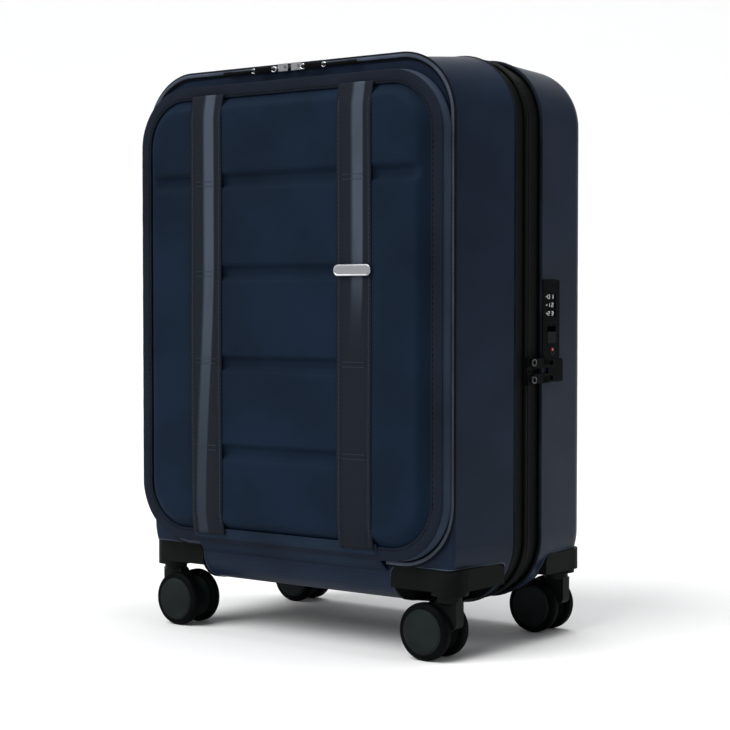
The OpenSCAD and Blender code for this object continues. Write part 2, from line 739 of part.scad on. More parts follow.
module hubs() color(dark_plastic) translate([trail, 0, wheel_r]) rotate([90, 0, 0]) {
  cylinder(r = axle_r, h = 2 * wheel_in + 8, center = true);
  for (s = [0, 1]) mirror([0, 0, s]) rotate_extrude() polygon([
    [0, wheel_in + 0.3], [8, wheel_in + 0.3], [8, wheel_in + 2], [hub_r, wheel_in + 2],
    [hub_r, pair_w / 2 - 0.8], [19.4, pair_w / 2 - 0.8], [18.6, pair_w / 2], [0, pair_w / 2]]);
}

module tyres() color(black) translate([trail, 0, wheel_r]) rotate([90, 0, 0])
  for (s = [0, 1]) mirror([0, 0, s]) rotate_extrude()
    polygon(concat([[tyre_in_r, wheel_in + 1], [wheel_r - 3, wheel_in + 1]],
                   turn(wheel_r - 3, wheel_in + 4, 3, -90, 0, 6),
                   turn(wheel_r - 3.4, pair_w / 2 - 4.6, 3.4, 0, 90, 6),
                   [[tyre_in_r, pair_w / 2 - 0.9]]));

module front_left_fork() caster_place(-1, swivel_front_y, 1) fork();
module front_left_hubs() caster_place(-1, swivel_front_y, 1) hubs();
module front_left_tyres() caster_place(-1, swivel_front_y, 1) tyres();
module front_right_fork() caster_place(1, swivel_front_y, -1) fork();
module front_right_hubs() caster_place(1, swivel_front_y, -1) hubs();
module front_right_tyres() caster_place(1, swivel_front_y, -1) tyres();
module rear_left_fork() caster_place(-1, swivel_rear_y, 1) fork();
module rear_left_hubs() caster_place(-1, swivel_rear_y, 1) hubs();
module rear_left_tyres() caster_place(-1, swivel_rear_y, 1) tyres();
module rear_right_fork() caster_place(1, swivel_rear_y, -1) fork();
module rear_right_hubs() caster_place(1, swivel_rear_y, -1) hubs();
module rear_right_tyres() caster_place(1, swivel_rear_y, -1) tyres();

rear_shell();
rear_piping();
rear_zip();
rear_lining();
hinge_cloth();
trolley_bezel();
outer_tubes();
middle_tubes();
inner_tubes();
trolley_grip();
grip_button();
release_rods();
top_handle_bezel();
top_handle();
side_handle_bezel();
side_handle();
lock_body();
lock_dock();
dial_1();
dial_2();
dial_3();
lock_button();
key_core();
upper_slider();
lower_slider();
rear_screws();
rear_left_housing();
rear_right_housing();
front_shell();
front_piping();
front_zip();
front_lining();
door_zip();
door_hinge_strip();
front_screws();
front_left_housing();
front_right_housing();
left_door_slider();
left_door_pull();
right_door_slider();
right_door_pull();
door_board();
door_panel();
door_binding();
door_gusset();
left_strap();
right_strap();
badge_plate();
front_left_fork();
front_left_hubs();
front_left_tyres();
front_right_fork();
front_right_hubs();
front_right_tyres();
rear_left_fork();
rear_left_hubs();
rear_left_tyres();
rear_right_fork();
rear_right_hubs();
rear_right_tyres();
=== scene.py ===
import math

import bmesh
import bpy
import numpy as np
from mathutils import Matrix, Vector
from mathutils.bvhtree import BVHTree


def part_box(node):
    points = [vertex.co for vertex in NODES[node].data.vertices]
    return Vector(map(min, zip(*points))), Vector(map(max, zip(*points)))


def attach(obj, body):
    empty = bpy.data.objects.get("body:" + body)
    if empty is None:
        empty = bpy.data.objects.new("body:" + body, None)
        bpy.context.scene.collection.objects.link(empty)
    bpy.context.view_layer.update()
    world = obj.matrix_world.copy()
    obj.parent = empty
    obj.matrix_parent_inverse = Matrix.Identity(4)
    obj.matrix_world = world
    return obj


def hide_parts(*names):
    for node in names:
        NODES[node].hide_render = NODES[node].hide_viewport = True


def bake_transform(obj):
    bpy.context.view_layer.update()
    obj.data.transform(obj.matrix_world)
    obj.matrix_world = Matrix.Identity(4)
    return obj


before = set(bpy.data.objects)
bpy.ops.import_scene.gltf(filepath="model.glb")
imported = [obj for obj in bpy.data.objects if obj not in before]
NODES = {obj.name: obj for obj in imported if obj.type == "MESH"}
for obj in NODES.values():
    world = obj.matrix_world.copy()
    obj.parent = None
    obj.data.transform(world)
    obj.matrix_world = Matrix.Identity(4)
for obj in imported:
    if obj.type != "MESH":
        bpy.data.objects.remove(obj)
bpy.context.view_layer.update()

MM = 0.001


# ---------- camera, light and floor ----------

def make_camera():
    """Long lens from the front right, a little above the middle of the case."""
    data = bpy.data.cameras.new("camera")
    data.lens = 90.23
    data.sensor_width = 36
    camera = bpy.data.objects.new("camera", data)
    camera.location = (1.09299, -1.40163, 0.31922)
    camera.rotation_euler = (math.radians(90 - 2.017), 0, math.radians(37.672))
    bpy.context.scene.collection.objects.link(camera)
    bpy.context.scene.camera = camera


def aim(item, place, target):
    """Puts a light at a place, pointing at the target."""
    item.location = place
    item.rotation_euler = (Vector(target) - Vector(place)).to_track_quat("-Z", "Y").to_euler()
    bpy.context.scene.collection.objects.link(item)


def stage_plane(name, centre, half_u, half_v, along, colour):
    """Pale sheet for the floor (along X and Y) or the backdrop (along a level line and Z)."""
    u = Vector(along) * half_u
    v = Vector((0, half_v, 0)) if name == "floor" else Vector((0, 0, half_v))
    c = Vector(centre)
    sheet = mesh_object(name, [c - u - v, c + u - v, c + u + v, c - u + v], [(0, 1, 2, 3)],
                        surface(name + "_paper", colour, 0.9, Specular_IOR_Level=0.1), False)


def make_studio():
    """Dim surroundings, one broad soft light from the front left, a pale floor and backdrop."""
    world = bpy.data.worlds.new("studio")
    world.use_nodes = True
    background = world.node_tree.nodes["Background"]
    background.inputs["Color"].default_value = (0.97, 0.98, 1.0, 1)
    background.inputs["Strength"].default_value = 0.36
    bpy.context.scene.world = world
    bpy.context.scene.view_settings.view_transform = "Standard"
    key = bpy.data.lights.new("key", "SUN")
    key.energy = 3.1
    key.angle = math.radians(50)
    aim(bpy.data.objects.new("key", key), (-0.9, -2.2, 2.7), (0, 0, 0.25))
    top = bpy.data.lights.new("top_softbox", "AREA")
    top.shape = "RECTANGLE"
    top.size, top.size_y = 1.2, 0.8
    top.energy = 22
    aim(bpy.data.objects.new("top_softbox", top), (0.3, 0.2, 2.0), (0, 0, 0.5))
    stage_plane("floor", (0, 0, 0), 40, 40, (1, 0, 0), (0.86, 0.86, 0.86))
    away, across = Vector((-0.611, 0.791, 0)), (0.791, 0.611, 0)     # from the camera's side
    stage_plane("backdrop", away * 5.0 + Vector((0, 0, 2.0)), 4.0, 2.0, across,
                (0.95, 0.95, 0.95))


# ---------- materials ----------

class Graph:
    """A material's node tree, with short calls for the nodes that the materials share."""

    def __init__(self, name, colour, roughness, metallic=0.0, **sockets):
        self.material = bpy.data.materials.new(name)
        self.material.use_nodes = True
        self.nodes = self.material.node_tree.nodes
        self.links = self.material.node_tree.links
        self.shader = self.nodes["Principled BSDF"]
        self.shader.inputs["Base Color"].default_value = (*colour, 1)
        self.shader.inputs["Roughness"].default_value = roughness
        self.shader.inputs["Metallic"].default_value = metallic
        for key, value in sockets.items():
            self.shader.inputs[key.replace("_", " ")].default_value = value
        self.place = self.nodes.new("ShaderNodeTexCoord").outputs["Object"]

    def node(self, kind, inputs=(), **settings):
        made = self.nodes.new("ShaderNode" + kind)
        for key, value in settings.items():
            setattr(made, key, value)
        for key, value in dict(inputs).items():
            if isinstance(value, bpy.types.NodeSocket):
                self.links.new(value, made.inputs[key])
            else:
                made.inputs[key].default_value = value
        return made

    def scaled(self, scale):
        return self.node("Mapping", {"Vector": self.place, "Scale": scale}).outputs[0]

    def noise(self, scale, detail=3.0, stretch=(1, 1, 1)):
        where = self.place if stretch == (1, 1, 1) else self.scaled(stretch)
        made = self.node("TexNoise", {"Vector": where, "Scale": scale, "Detail": detail})
        return made.outputs[0]

    def wave(self, scale, axis):
        return self.node("TexWave", {"Vector": self.place, "Scale": scale},
                         bands_direction=axis).outputs["Fac"]

    def math(self, operation, a, b):
        return self.node("Math", {0: a, 1: b}, operation=operation).outputs[0]

    def split(self):
        """The x, y and z of a point of the object."""
        return self.node("SeparateXYZ", {"Vector": self.place}).outputs

    def step(self, value, start, end):
        """0 at start and 1 at end, smooth between them."""
        return self.node("MapRange", {"Value": value, "From Min": start, "From Max": end},
                         interpolation_type="SMOOTHSTEP").outputs[0]

    def colour(self, fac, low, high, at=(0.0, 1.0)):
        """Base colour from low to high, as fac goes over the two positions in at."""
        made = self.node("ValToRGB", {"Fac": fac})
        first, last = made.color_ramp.elements
        first.position, last.position = at
        first.color = (*low, 1)
        last.color = (*high, 1)
        self.links.new(made.outputs[0], self.shader.inputs["Base Color"])

    def roughness(self, fac, low, high):
        made = self.node("MapRange", {"Value": fac, "To Min": low, "To Max": high})
        self.links.new(made.outputs[0], self.shader.inputs["Roughness"])

    def bump(self, height, distance, strength=1.0):
        """Adds a bump over any that is already there."""
        settings = {"Height": height, "Distance": distance, "Strength": strength}
        socket = self.shader.inputs["Normal"]
        if socket.is_linked:
            settings["Normal"] = socket.links[0].from_socket
        self.links.new(self.node("Bump", settings).outputs[0], socket)


def surface(name, colour, roughness, **sockets):
    """Plain material with no pattern."""
    return Graph(name, colour, roughness, **sockets).material


def shade(colour, factor):
    return tuple(min(1.0, c * factor) for c in colour)


def weave(graph, pitch, depth):
    """Plain weave of that pitch, from two crossed thread waves."""
    scale = 0.5 / pitch
    warp = graph.wave(scale, "X")
    weft = graph.wave(scale, "Z")
    graph.bump(graph.math("MULTIPLY", warp, weft), depth)


def shell_material():
    """Satin navy shell, a little cloudy, with a very fine texture."""
    colour = (0.0068, 0.0135, 0.0280)
    g = Graph("shell_navy", colour, 0.36, Specular_IOR_Level=0.07)
    g.colour(g.noise(14, 4), shade(colour, 0.85), shade(colour, 1.18), (0.35, 0.65))
    g.roughness(g.noise(60, 4), 0.32, 0.42)
    g.bump(g.noise(2600, 2), 0.00003, 0.6)
    return g.material


def moulded_material(name, colour, roughness=0.5, level=0.05, spread=0.22):
    """Moulded plastic with a fine grain; spread is how far its colour varies."""
    g = Graph(name, colour, roughness, Specular_IOR_Level=level)
    g.colour(g.noise(30, 4), shade(colour, 1 - spread), shade(colour, 1 + spread), (0.35, 0.65))
    g.roughness(g.noise(90, 3), roughness - 0.06, roughness + 0.08)
    g.bump(g.noise(1800, 2), 0.00005, 0.8)
    return g.material


def rubber_material(name, colour):
    """Dull rubber with a soft, uneven face."""
    g = Graph(name, colour, 0.6, Specular_IOR_Level=0.03)
    g.colour(g.noise(40, 4), shade(colour, 0.75), shade(colour, 1.5), (0.4, 0.7))
    g.bump(g.noise(900, 3), 0.00008, 0.7)
    return g.material


def cloth_material(name, colour, pitch, depth, spread=0.2):
    """Woven cloth of that thread pitch and depth, with a faint sheen."""
    g = Graph(name, colour, 0.72, Specular_IOR_Level=0.06, Sheen_Weight=0.02,
              Sheen_Roughness=0.45)
    g.shader.inputs["Sheen Tint"].default_value = (*shade(colour, 8), 1)
    g.colour(g.noise(11, 5), shade(colour, 1 - spread), shade(colour, 1 + spread), (0.35, 0.65))
    weave(g, pitch, depth)
    g.bump(g.noise(240, 3), 0.00012, 0.4)
    return g.material


def zip_material(name, colour, pitch):
    """Moulded zip teeth: slanting ribs across the tape, with painted highlights on their crests and
    painted shade between them.
    """
    g = Graph(name, colour, 0.42, Specular_IOR_Level=0.05)
    ribs = g.wave(0.5 / pitch, "DIAGONAL")
    # painted highlight and shade: the ribs' colour is lighter on the crests and darker between them
    g.colour(ribs, shade(colour, 0.45), shade(colour, 1.6), (0.2, 0.9))
    g.bump(ribs, 0.0003)
    return g.material


def webbing_material(name, centre, fade_from, fade_to):
    """Ribbed webbing, with a paler band of painted sheen beside its middle that fades towards the
    bottom.
    """
    # dark is the webbing's own colour, light is the colour of the painted sheen
    dark, light = (0.0052, 0.0078, 0.0135), (0.046, 0.060, 0.082)
    g = Graph(name, dark, 0.55, Specular_IOR_Level=0.08)
    x, _, z = g.split()
    u = g.math("DIVIDE", g.math("SUBTRACT", x, centre), STRAP_HALF)     # -1 to 1 across the strap
    drift = g.math("MULTIPLY", g.step(z, 0.36, 0.12), 0.55)
    u = g.math("ADD", u, drift)
    left = g.step(u, -0.22, 0.02)
    right = g.step(u, 0.58, 0.46)
    tall = g.step(z, fade_from, fade_to)
    low = g.math("ADD", g.math("MULTIPLY", g.step(z, 0.16, 0.40), 0.5), 0.5)
    # painted sheen: the paler band is colour standing in for light on the webbing, drifting
    # sideways and weaker low down
    band = g.math("MULTIPLY", g.math("MULTIPLY", left, right), g.math("MULTIPLY", tall, low))
    patches = g.step(g.noise(14, 4, (1, 1, 0.4)), 0.38, 0.62)
    cloud = g.math("ADD", g.math("MULTIPLY", patches, 0.55), 0.5)
    g.colour(g.math("MULTIPLY", band, cloud), dark, light)
    g.bump(g.wave(420, "Z"), 0.00015, 0.8)             # cross ribs
    g.bump(g.wave(700, "X"), 0.00008, 0.5)             # lengthwise threads
    return g.material


def brushed_material(name, colour, roughness, along=(1, 60, 60)):
    """Metal with fine streaks; along stretches them, and is smallest on their own axis."""
    g = Graph(name, colour, roughness, 1.0)
    streak = g.noise(220, 4, along)
    g.roughness(streak, roughness - 0.06, roughness + 0.12)
    g.bump(streak, 0.00002, 0.5)
    return g.material


# ---------- mesh helpers ----------

def mesh_object(name, verts, faces, material, smooth=True):
    mesh = bpy.data.meshes.new(name)
    mesh.from_pydata([tuple(v) for v in verts], [], faces)
    mesh.update()
    piece = bpy.data.objects.new(name, mesh)
    bpy.context.scene.collection.objects.link(piece)
    mesh.materials.append(material)
    mesh.shade_smooth() if smooth else mesh.shade_flat()
    return piece


def fit(piece, body, slot, *replaced):
    """Puts a piece on the body it rides on and hides the CAD nodes it replaces; slot is not used.
    """
    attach(piece, body)
    if replaced:
        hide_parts(*replaced)
    return piece


class Ring:
    """A rounded rectangle in the XZ plane, walked clockwise from the middle of its top."""

    def __init__(self, half_w, bottom, top, radius):
        self.r = radius
        self.cx = half_w - radius
        self.cz = (top - bottom) / 2 - radius
        self.mid = (top + bottom) / 2
        arc = math.pi / 2 * radius
        self.spans = [self.cx, arc, 2 * self.cz, arc, 2 * self.cx, arc, 2 * self.cz, arc, self.cx]
        self.length = sum(self.spans)

    def at(self, s):
        """Position (x, z) and outward direction (nx, nz) at length s."""
        s = s % self.length
        for i, span in enumerate(self.spans):
            if s <= span or i == len(self.spans) - 1:
                break
            s -= span
        cx, cz, r = self.cx, self.cz, self.r
        if i % 2:
            a = math.pi / 2 - (i - 1) / 2 * math.pi / 2 - s / r
            corner = {1: (cx, cz), 3: (cx, -cz), 5: (-cx, -cz), 7: (-cx, cz)}[i]
            n = (math.cos(a), math.sin(a))
            return (corner[0] + r * n[0], self.mid + corner[1] + r * n[1]), n
        starts = {0: ((0, cz + r), (1, 0)), 2: ((cx + r, cz), (0, -1)), 4: ((cx, -cz - r), (-1, 0)),
                  6: ((-cx - r, -cz), (0, 1)), 8: ((-cx, cz + r), (1, 0))}
        (x, z), (dx, dz) = starts[i]
        return (x + dx * s, self.mid + z + dz * s), (-dz, dx)

    def stations(self, step, start=0.0, stop=None):
        stop = self.length if stop is None else stop
        count = max(2, round((stop - start) / step))
        return [start + (stop - start) * i / count for i in range(count + 1)]


def skin(rows, sides, base=0, closed=False):
    """Faces over rows of that many points each, capped at both ends unless closed."""
    faces = []
    for i in range(rows if closed else rows - 1):
        j = (i + 1) % rows
        for k in range(sides):
            m = (k + 1) % sides
            faces.append((base + i * sides + k, base + i * sides + m,
                          base + j * sides + m, base + j * sides + k))
    if not closed:
        faces.append(tuple(base + k for k in range(sides - 1, -1, -1)))
        faces.append(tuple(base + (rows - 1) * sides + k for k in range(sides)))
    return faces


def circle(steps):
    """That many angles, evenly round a circle."""
    return [2 * math.pi * k / steps for k in range(steps)]


def sweep(ring, section, step, start=0.0, stop=None):
    """Sweeps section(s), a closed list of (outward offset, y), along the ring."""
    closed = stop is None
    stations = ring.stations(step, start, stop)
    if closed:
        stations = stations[:-1]
    verts = []
    for s in stations:
        (x, z), (nx, nz) = ring.at(s)
        verts += [(x + nx * o, y, z + nz * o) for o, y in section(s)]
    return verts, skin(len(stations), len(section(start)), closed=closed)


def recalc(piece):
    """Turns a closed piece's faces outwards."""
    work = bmesh.new()
    work.from_mesh(piece.data)
    bmesh.ops.recalc_face_normals(work, faces=work.faces)
    work.to_mesh(piece.data)
    work.free()
    return piece


def pill(outline, corner):
    """Rounds the corners of a closed (u, v) outline with three points each."""
    points = []
    count = len(outline)
    for i in range(count):
        p = Vector(outline[i])
        a = (Vector(outline[i - 1]) - p).normalized() * corner
        b = (Vector(outline[(i + 1) % count]) - p).normalized() * corner
        points += [tuple(p + a), tuple(p + (a + b) * 0.29), tuple(p + b)]
    return points


def capsule(verts, faces, a, b, radius, sides=6):
    """Adds a short rounded bar from a to b."""
    a, b = Vector(a), Vector(b)
    d = (b - a).normalized()
    side = d.orthogonal().normalized()
    up = side.cross(d)
    rings = [(a, 0.62), (a + d * radius * 0.6, 1.0), (b - d * radius * 0.6, 1.0), (b, 0.62)]
    faces += skin(len(rings), sides, len(verts))
    for centre, grow in rings:
        for t in circle(sides):
            verts.append(centre + (side * math.cos(t) + up * math.sin(t)) * radius * grow)


class Build:
    """Collects rounded blocks, tubes and bars into one mesh."""

    def __init__(self):
        self.verts, self.faces = [], []

    def block(self, low, high, edge, segments=2):
        """Box between two corners, with rounded edges."""
        work = bmesh.new()
        bmesh.ops.create_cube(work, size=1)
        for v in work.verts:
            v.co = Vector([(low[i] + high[i]) / 2 + v.co[i] * (high[i] - low[i]) for i in range(3)])
        bmesh.ops.bevel(work, geom=list(work.edges), offset=edge, segments=segments, profile=0.5,
                        affect="EDGES")
        base = len(self.verts)
        work.verts.index_update()
        self.verts += [v.co.copy() for v in work.verts]
        self.faces += [tuple(base + v.index for v in f.verts) for f in work.faces]
        work.free()

    def tube(self, path, radius, sides, closed=False):
        """Tube along a path of points."""
        points = [Vector(p) for p in path]
        n = len(points)
        self.faces += skin(n, sides, len(self.verts), closed)
        for i, p in enumerate(points):
            ahead = points[(i + 1) % n] if closed or i < n - 1 else p
            behind = points[i - 1] if closed or i > 0 else p
            d = (ahead - behind).normalized()
            side = d.cross(Vector((0, 1, 0)))
            if side.length <= 0.2:
                side = d.cross(Vector((0, 0, 1)))
            side.normalize()
            up = side.cross(d)
            for t in circle(sides):
                self.verts.append(p + (side * math.cos(t) + up * math.sin(t)) * radius)

    def bar(self, a, b, radius):
        capsule(self.verts, self.faces, a, b, radius)

    def piece(self, name, material):
        return recalc(mesh_object(name, self.verts, self.faces, material))


def mesh_tree(piece):
    """Tree of a piece's faces, for casting rays at it."""
    return BVHTree.FromPolygons([v.co for v in piece.data.vertices],
                                [p.vertices[:] for p in piece.data.polygons])


# ---------- sizes, most of them taken from the frame ----------

def span(node):
    """Lowest and highest corner of a CAD node's box."""
    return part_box(node)


door_low, door_high = span("door_binding")
BOARD_FRONT = span("door_board")[0].y
PANEL_FRONT = span("door_panel")[0].y
BINDING_FRONT = door_low.y
DOOR_R = 56 * MM
BINDING_W = 12.2 * MM
PANEL_INSET = BINDING_W - 1.0 * MM            # the pad's edge lies under the binding
PAD_BACK = 3.0 * MM                           # depth of the pad's back that stays flat
EDGE_DROP = 2.5 * MM                          # from the binding's face back to the pad's edge
CROWN_REACH = 13 * MM                         # the pad is at its full height this far in
STRAP_PRESS = 0.9 * MM                        # the straps press the pad in by this
door_ring = Ring(door_high.x, door_low.z, door_high.z, DOOR_R)
# Sewn channels across the pad: height of the middle, half width, depth
CREASE_TOP = (432.5 * MM, 7.2 * MM, 5.2 * MM)
CREASES_MIDDLE = [(346.0 * MM, 7.2 * MM, 5.0 * MM), (260.5 * MM, 7.2 * MM, 4.8 * MM),
                  (177.0 * MM, 7.2 * MM, 4.6 * MM)]
CREASE_END = 168 * MM                         # the top channel runs out here on both sides
strap_low, strap_high = span("right_strap")
STRAP_X = (strap_low.x + strap_high.x) / 2
STRAP_HALF = (strap_high.x - strap_low.x) / 2
HINGE_HALF = span("door_hinge_strip")[1].x
LOWER_EDGE = 0.2                              # what is lower than this is on the bottom edge
HOUSING_TOP = span("front_right_housing")[1].z
HOUSING_IN = span("front_right_housing")[0].x


# ---------- padded door ----------

def edge_distance(x, z):
    """How far a point lies inside the padded panel's outline."""
    half_w = door_high.x - PANEL_INSET
    half_h = (door_high.z - door_low.z) / 2 - PANEL_INSET
    r = DOOR_R - PANEL_INSET
    qx = abs(x) - (half_w - r)
    qz = abs(z - (door_high.z + door_low.z) / 2) - (half_h - r)
    outside = math.hypot(max(qx, 0), max(qz, 0))
    return r - outside - min(max(qx, qz), 0)


def smooth(t):
    """0 to 1 with level ends, for t from 0 to 1."""
    t = min(1.0, max(0.0, t))
    return t * t * (3 - 2 * t)


def channel(z, centre, width, depth):
    """Depth of a sewn channel: a flat floor between a steep upper side and a softer lower side."""
    t = (z - centre) / width
    t = t * 1.15 if t > 0 else -t
    return depth * smooth((1.2 - t) / 0.62)


def channels(x, z):
    """Depth of all the channels: the top one is full width, the others end at the straps."""
    ends = smooth((CREASE_END - abs(x)) / (22 * MM))
    fade = smooth((STRAP_X + STRAP_HALF * 0.9 - abs(x)) / (8 * MM)) if abs(x) >= STRAP_X else 1
    middle = sum(channel(z, *crease) for crease in CREASES_MIDDLE)
    return channel(z, *CREASE_TOP) * ends + middle * fade


def at_hinge(x, z):
    """Whether a point of the door's edge lies behind the hinge band."""
    return z < LOWER_EDGE and abs(x) < HINGE_HALF


def pad_blank():
    """The pad before it is filled: a rounded slab, remeshed fine enough for cloth."""
    back, front = BOARD_FRONT - 0.2 * MM, PANEL_FRONT + 6.0 * MM
    inset = PANEL_INSET + 0.2 * MM
    outline = []
    for s in door_ring.stations(6 * MM)[:-1]:
        (x, z), (nx, nz) = door_ring.at(s)
        outline.append((x - nx * inset, z - nz * inset))
    n = len(outline)
    verts = [(x, back, z) for x, z in outline] + [(x, front, z) for x, z in outline]
    faces = [tuple(range(n)), tuple(range(2 * n - 1, n - 1, -1))]
    faces += [(k, n + k, n + (k + 1) % n, (k + 1) % n) for k in range(n)]
    piece = recalc(mesh_object("padded_panel", verts, faces, MATERIALS["panel"]))
    remesh = piece.modifiers.new("remesh", "REMESH")
    remesh.mode = "VOXEL"
    remesh.voxel_size = 4.5 * MM
    bake(piece)
    return piece


def bake(piece):
    """Applies every modifier of a piece to its mesh."""
    graph = bpy.context.evaluated_depsgraph_get()
    mesh = bpy.data.meshes.new_from_object(piece.evaluated_get(graph))
    old = piece.data
    piece.modifiers.clear()
    piece.data = mesh
    bpy.data.meshes.remove(old)


def coordinates(mesh):
    co = np.empty(len(mesh.vertices) * 3, np.float32)
    mesh.vertices.foreach_get("co", co)
    return co.reshape(-1, 3).astype(float)


SIMULATED = 20                                # frames


def puff(piece, cap):
    """Fills the pad by cloth simulation; its back and its sewn lines are held, no point moves
    further than the cap."""
    rest = coordinates(piece.data)
    group = piece.vertex_groups.new(name="held")
    for i, (x, y, z) in enumerate(rest):
        hold = 1.0 if y > BOARD_FRONT - PAD_BACK else 0.0
        hold = max(hold, min(1.0, channels(x, z) / (3.4 * MM)) ** 2)
        if abs(abs(x) - STRAP_X) < STRAP_HALF:
            hold = max(hold, 0.6)
        if hold > 0.02:
            group.add([i], hold, "REPLACE")
    cloth = piece.modifiers.new("cloth", "CLOTH")
    settings = cloth.settings
    settings.quality = 5
    settings.mass = 0.3
    settings.tension_stiffness = 18
    settings.compression_stiffness = 18
    settings.bending_stiffness = 1.5
    settings.use_pressure = True
    settings.uniform_pressure_force = 4
    settings.effector_weights.gravity = 0
    settings.vertex_group_mass = "held"
    cloth.point_cache.frame_start = 1
    cloth.point_cache.frame_end = SIMULATED
    scene = bpy.context.scene
    for number in range(1, SIMULATED + 1):
        scene.frame_set(number)
    graph = bpy.context.evaluated_depsgraph_get()
    moved = coordinates(piece.evaluated_get(graph).to_mesh())
    piece.modifiers.clear()
    shift = moved - rest
    length = np.linalg.norm(shift, axis=1)
    shift *= (np.minimum(length, cap) / np.maximum(length, 1e-9))[:, None]
    piece.data.vertices.foreach_set("co", (rest + shift).astype(np.float32).ravel())
    piece.data.update()
    scene.frame_set(1)


def shape_pad(piece):
    """One subdivision, then the crown's limit, the pressed strap lines and the sewn channels."""
    level = piece.modifiers.new("smooth", "SUBSURF")
    level.levels = level.render_levels = 1
    bake(piece)
    edge_y, crown_y = BINDING_FRONT + EDGE_DROP, PANEL_FRONT - 0.5 * MM
    co = coordinates(piece.data)
    for p in co:
        x, y, z = p
        if y > BOARD_FRONT - PAD_BACK:
            continue
        crown = smooth(edge_distance(x, z) / CROWN_REACH)
        under_strap = smooth((STRAP_HALF + 3 * MM - abs(abs(x) - STRAP_X)) / (4 * MM))
        front = edge_y + (crown_y - edge_y) * crown + under_strap * STRAP_PRESS
        share = (y - BOARD_FRONT) / (front - BOARD_FRONT)
        y = max(y, front) if share > 1 else y + (front - y) * smooth(share * 1.15)
        depth = channels(x, z) * crown * (1 - under_strap * 0.55)
        p[1] = y + depth * smooth((BOARD_FRONT - y) / (12 * MM))
    piece.data.vertices.foreach_set("co", co.astype(np.float32).ravel())
    piece.data.update()


def make_panel():
    """The door's padded face."""
    piece = pad_blank()
    puff(piece, 6 * MM)
    shape_pad(piece)
    piece.data.materials.clear()
    piece.data.materials.append(MATERIALS["panel"])
    piece.data.shade_smooth()
    fit(piece, "door", "panel", "door_panel")
    return piece


def make_binding():
    """Folded tape round the door, rounded over on its outer edge."""
    front, w = BINDING_FRONT, BINDING_W
    outline = pill([(0.2 * MM, front + 0.4 * MM), (0.0, front + 3.2 * MM), (-w, front + 3.0 * MM),
                    (-w, front)], 0.9 * MM)

    def section(s):
        """The outline, with a slight unevenness that is less at the outer edge."""
        wobble = 0.25 * MM * math.sin(s * 190) * math.sin(s * 47 + 1)
        return [(o, y + wobble * (0.4 if o > -w / 2 else 1)) for o, y in outline]

    verts, faces = sweep(door_ring, section, 5 * MM)
    piece = recalc(mesh_object("door_edge_binding", verts, faces, MATERIALS["binding"]))
    return fit(piece, "door", "binding", "door_binding")


def make_gusset():
    """Cloth wall from the binding back to the zip, leaning outwards, with a soft bulge."""
    front, back = BINDING_FRONT + 2.4 * MM, span("door_gusset")[1].y + 0.6 * MM
    rows = 8
    start, lean, bulge, thick = -2.6 * MM, 3.6 * MM, 1.1 * MM, 1.1 * MM
    outer = [(start + lean * t + bulge * math.sin(math.pi * t), front + (back - front) * t)
             for t in [i / rows for i in range(rows + 1)]]
    wall = outer + [(o - thick, y) for o, y in reversed(outer)]
    verts, faces = sweep(door_ring, lambda s: wall, 5 * MM)
    piece = recalc(mesh_object("door_side_gusset", verts, faces, MATERIALS["gusset"]))
    return fit(piece, "door", "cloth", "door_gusset")


def strap_surface(panel):
    """Height of the panel's front at (x, z), from a ray along +Y."""
    tree = mesh_tree(panel)

    def at(x, z):
        hit = tree.ray_cast(Vector((x, -0.2, z)), Vector((0, 1, 0)))[0]
        return hit.y if hit else BINDING_FRONT
    return at


TACKS = [429.4 * MM, 344.4 * MM, 262.0 * MM, 179.6 * MM]     # heights where the straps are sewn
TACK_PULL = 0.7 * MM                          # how far a tack pulls the strap in
TUCK = 4.5 * MM                               # how far the ends go in under the binding
HEM = 0.70                                    # share of the half width where the hems begin
HEM_RISE = 0.55 * MM                          # the hems stand above the middle
HEM_LINE = 0.3 * MM                           # depth of the line along them


def strap_wander(side, z):
    """Slight sideways drift of a strap's line."""
    return 0.35 * MM * math.sin(z * 21 + side)


def make_strap(side, at, name, node):
    """Webbing strap with thicker hems and a low middle, pulled down at its tacks."""
    bottom, top = door_low.z + BINDING_W - 3 * MM, door_high.z - BINDING_W + 3 * MM
    rows, columns = 150, 20
    front_rest = span(node)[0].y
    verts, line = [], []
    for i in range(rows + 1):
        z = bottom + (top - bottom) * i / rows
        near = sum(at(side * STRAP_X + dx, z + dz) for dx in (-12 * MM, 12 * MM)
                   for dz in (-9 * MM, 0, 9 * MM)) / 6
        lay = min(near - 0.5 * MM, front_rest + 1.3 * MM)
        tuck = TUCK * (1 - smooth(min(z - bottom, top - z) / (15 * MM)))
        tack = sum(TACK_PULL * math.exp(-((z - t) / (2.4 * MM)) ** 2) for t in TACKS)
        line.append((z, max(lay, front_rest - 0.4 * MM) + tuck + tack))
    kernel = np.ones(9) / 9
    heights = np.convolve(np.pad(np.array([y for _, y in line]), 4, "edge"), kernel, "valid")
    line = [(z, y) for (z, _), y in zip(line, heights)]
    for z, y in line:
        middle = side * STRAP_X + strap_wander(side, z)
        for back in (False, True):
            for k in range(columns + 1):
                u = 2 * (k / columns) - 1
                u = -u if back else u
                hem = smooth((abs(u) - HEM) / 0.06)
                raised = HEM_RISE * hem - HEM_LINE * math.exp(-((abs(u) - HEM) / 0.05) ** 2)
                bow = 0.8 * MM * u * u
                depth = 0.9 * MM if back else -raised
                verts.append((middle + u * STRAP_HALF, y + bow + depth, z))
    faces = skin(rows + 1, 2 * (columns + 1))
    fit(recalc(mesh_object(name, verts, faces, MATERIALS[name])), "door", "strap", node)
    strap_stitches(side, line, name)


